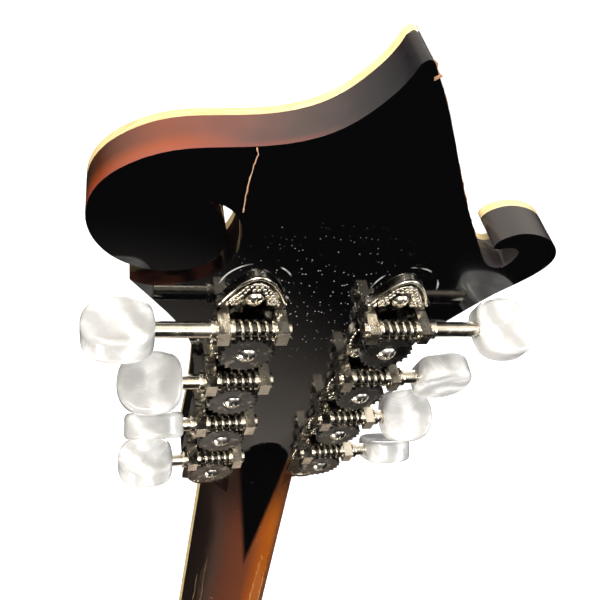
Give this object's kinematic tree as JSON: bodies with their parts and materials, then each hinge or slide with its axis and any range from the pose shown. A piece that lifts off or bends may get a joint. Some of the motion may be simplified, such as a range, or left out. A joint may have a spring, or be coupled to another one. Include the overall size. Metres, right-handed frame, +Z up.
{
  "type": "mandolin",
  "caption": "Mandolin with a scroll headstock and arched body: geared tuner keys wind the string posts, the bridge adjusts for height and the tailpiece cover slides off.",
  "frame": {"origin": "middle of the nut's fingerboard edge, on the plane where the fingerboard is glued to the neck", "axes": "+Z up the neck to the headstock's tip, strings face -Y, treble side +X"},
  "size_m": [0.259, 0.0984, 0.7041],
  "materials": {
    "neck_finish": "gloss sunburst lacquer",
    "black_veneer": "gloss black lacquer",
    "cream_binding": "gloss",
    "black_plastic": "gloss",
    "nickel": "worn nickel plate",
    "steel": "plain",
    "fret_wire": "polished",
    "pearl": "pearl",
    "bone": "satin",
    "spruce_finish": "gloss sunburst lacquer",
    "maple_finish": "gloss sunburst lacquer",
    "plain_wood": "unfinished",
    "fingerboard_wood": "oiled",
    "brass": "plain",
    "wound_string": "wound bronze",
    "plain_string": "plain steel",
    "gear_brass": "dark tarnish",
    "button_pearl": "pearl swirl"
  },
  "bodies": {
    "mandolin": {"neck": "neck_finish", "headstock_overlay": "black_veneer", "headstock_binding": "cream_binding", "truss_rod_cover": "black_plastic", "truss_rod_cover_screw": "nickel", "truss_rod": "steel", "plate_screws": "nickel", "post_ferrules": "nickel", "fingerboard": "fingerboard_wood", "fingerboard_binding": "cream_binding", "frets": "fret_wire", "position_markers": "pearl", "nut": "bone", "top_plate": "spruce_finish", "back_plate": "maple_finish", "body_binding": "cream_binding", "ribs": "maple_finish", "linings": "plain_wood", "head_block": "plain_wood", "tail_block": "plain_wood", "tone_bars": "plain_wood", "fingerboard_support": "maple_finish", "end_pin": "black_plastic", "tailpiece_base": "nickel", "tailpiece_screws": "nickel", "bridge_base": "fingerboard_wood", "bridge_studs": "brass", "tuner_plate_bass": "nickel", "tuner_plate_treble": "nickel", "strings_wound": "wound_string", "strings_plain": "plain_string"},
    "key_bass_1": {"worm_shaft_bass_1": "nickel", "button_bass_1": "button_pearl"},
    "post_bass_1": {"string_post_bass_1": "gear_brass"},
    "key_bass_2": {"worm_shaft_bass_2": "nickel", "button_bass_2": "button_pearl"},
    "post_bass_2": {"string_post_bass_2": "gear_brass"},
    "key_bass_3": {"worm_shaft_bass_3": "nickel", "button_bass_3": "button_pearl"},
    "post_bass_3": {"string_post_bass_3": "gear_brass"},
    "key_bass_4": {"worm_shaft_bass_4": "nickel", "button_bass_4": "button_pearl"},
    "post_bass_4": {"string_post_bass_4": "gear_brass"},
    "key_treble_1": {"worm_shaft_treble_1": "nickel", "button_treble_1": "button_pearl"},
    "post_treble_1": {"string_post_treble_1": "gear_brass"},
    "key_treble_2": {"worm_shaft_treble_2": "nickel", "button_treble_2": "button_pearl"},
    "post_treble_2": {"string_post_treble_2": "gear_brass"},
    "key_treble_3": {"worm_shaft_treble_3": "nickel", "button_treble_3": "button_pearl"},
    "post_treble_3": {"string_post_treble_3": "gear_brass"},
    "key_treble_4": {"worm_shaft_treble_4": "nickel", "button_treble_4": "button_pearl"},
    "post_treble_4": {"string_post_treble_4": "gear_brass"},
    "saddle": {"bridge_saddle": "fingerboard_wood"},
    "wheel_bass": {"thumbwheel_bass": "brass"},
    "wheel_treble": {"thumbwheel_treble": "brass"},
    "tail_cover": {"tailpiece_cover": "nickel"},
    "rod_nut": {"truss_rod_nut": "brass"}
  },
  "joints": [
    {"name": "key_bass_1_turn", "type": "hinge", "parent": "mandolin", "child": "key_bass_1", "pos_m": [-0.0186, 0.04079, 0.09467], "axis": [1, 0, 0], "continuous": true},
    {"name": "post_bass_1_turn", "type": "hinge", "parent": "mandolin", "child": "post_bass_1", "pos_m": [-0.0186, 0.0241, 0.08993], "axis": [0, 0.9659, -0.2588], "continuous": true},
    {"name": "key_bass_2_turn", "type": "hinge", "parent": "mandolin", "child": "key_bass_2", "pos_m": [-0.0186, 0.03483, 0.07243], "axis": [1, 0, 0], "continuous": true},
    {"name": "post_bass_2_turn", "type": "hinge", "parent": "mandolin", "child": "post_bass_2", "pos_m": [-0.0186, 0.01814, 0.06769], "axis": [0, 0.9659, -0.2588], "continuous": true},
    {"name": "key_bass_3_turn", "type": "hinge", "parent": "mandolin", "child": "key_bass_3", "pos_m": [-0.0186, 0.02888, 0.0502], "axis": [1, 0, 0], "continuous": true},
    {"name": "post_bass_3_turn", "type": "hinge", "parent": "mandolin", "child": "post_bass_3", "pos_m": [-0.0186, 0.01218, 0.04546], "axis": [0, 0.9659, -0.2588], "continuous": true},
    {"name": "key_bass_4_turn", "type": "hinge", "parent": "mandolin", "child": "key_bass_4", "pos_m": [-0.0186, 0.02292, 0.02796], "axis": [1, 0, 0], "continuous": true},
    {"name": "post_bass_4_turn", "type": "hinge", "parent": "mandolin", "child": "post_bass_4", "pos_m": [-0.0186, 0.00622, 0.02322], "axis": [0, 0.9659, -0.2588], "continuous": true},
    {"name": "key_treble_1_turn", "type": "hinge", "parent": "mandolin", "child": "key_treble_1", "pos_m": [0.0186, 0.04079, 0.09467], "axis": [1, 0, 0], "continuous": true},
    {"name": "post_treble_1_turn", "type": "hinge", "parent": "mandolin", "child": "post_treble_1", "pos_m": [0.0186, 0.0241, 0.08993], "axis": [0, 0.9659, -0.2588], "continuous": true},
    {"name": "key_treble_2_turn", "type": "hinge", "parent": "mandolin", "child": "key_treble_2", "pos_m": [0.0186, 0.03483, 0.07243], "axis": [1, 0, 0], "continuous": true},
    {"name": "post_treble_2_turn", "type": "hinge", "parent": "mandolin", "child": "post_treble_2", "pos_m": [0.0186, 0.01814, 0.06769], "axis": [0, 0.9659, -0.2588], "continuous": true},
    {"name": "key_treble_3_turn", "type": "hinge", "parent": "mandolin", "child": "key_treble_3", "pos_m": [0.0186, 0.02888, 0.0502], "axis": [1, 0, 0], "continuous": true},
    {"name": "post_treble_3_turn", "type": "hinge", "parent": "mandolin", "child": "post_treble_3", "pos_m": [0.0186, 0.01218, 0.04546], "axis": [0, 0.9659, -0.2588], "continuous": true},
    {"name": "key_treble_4_turn", "type": "hinge", "parent": "mandolin", "child": "key_treble_4", "pos_m": [0.0186, 0.02292, 0.02796], "axis": [1, 0, 0], "continuous": true},
    {"name": "post_treble_4_turn", "type": "hinge", "parent": "mandolin", "child": "post_treble_4", "pos_m": [0.0186, 0.00622, 0.02322], "axis": [0, 0.9659, -0.2588], "continuous": true},
    {"name": "saddle_height", "type": "slide", "parent": "mandolin", "child": "saddle", "axis": [0, -0.9945, -0.1045], "range_m": [-0.001, 0.0015], "deforming": ["strings_wound", "strings_plain"]},
    {"name": "thumbwheel_bass_turn", "type": "hinge", "parent": "saddle", "child": "wheel_bass", "pos_m": [-0.029, -0.00244, -0.35371], "axis": [0, -0.9945, -0.1045], "range_deg": [-515, 772]},
    {"name": "thumbwheel_treble_turn", "type": "hinge", "parent": "saddle", "child": "wheel_treble", "pos_m": [0.029, -0.00244, -0.35371], "axis": [0, -0.9945, -0.1045], "range_deg": [-515, 772]},
    {"name": "tailpiece_cover_slide", "type": "slide", "parent": "mandolin", "child": "tail_cover", "axis": [0, 0.1045, -0.9945], "range_m": [0, 0.035]},
    {"name": "truss_rod_nut_turn", "type": "hinge", "parent": "mandolin", "child": "rod_nut", "pos_m": [0, 0.005, 0.009], "axis": [0, 0, 1], "range_deg": [-360, 360]}
  ],
  "couplings": [
    {"joint": "post_bass_1_turn", "follows": "key_bass_1_turn", "ratio": -0.045455},
    {"joint": "post_bass_2_turn", "follows": "key_bass_2_turn", "ratio": -0.045455},
    {"joint": "post_bass_3_turn", "follows": "key_bass_3_turn", "ratio": -0.045455},
    {"joint": "post_bass_4_turn", "follows": "key_bass_4_turn", "ratio": -0.045455},
    {"joint": "post_treble_1_turn", "follows": "key_treble_1_turn", "ratio": -0.045455},
    {"joint": "post_treble_2_turn", "follows": "key_treble_2_turn", "ratio": -0.045455},
    {"joint": "post_treble_3_turn", "follows": "key_treble_3_turn", "ratio": -0.045455},
    {"joint": "post_treble_4_turn", "follows": "key_treble_4_turn", "ratio": -0.045455},
    {"joint": "thumbwheel_bass_turn", "follows": "saddle_height", "rad_per_m": 8976},
    {"joint": "thumbwheel_treble_turn", "follows": "saddle_height", "rad_per_m": 8976}
  ]
}
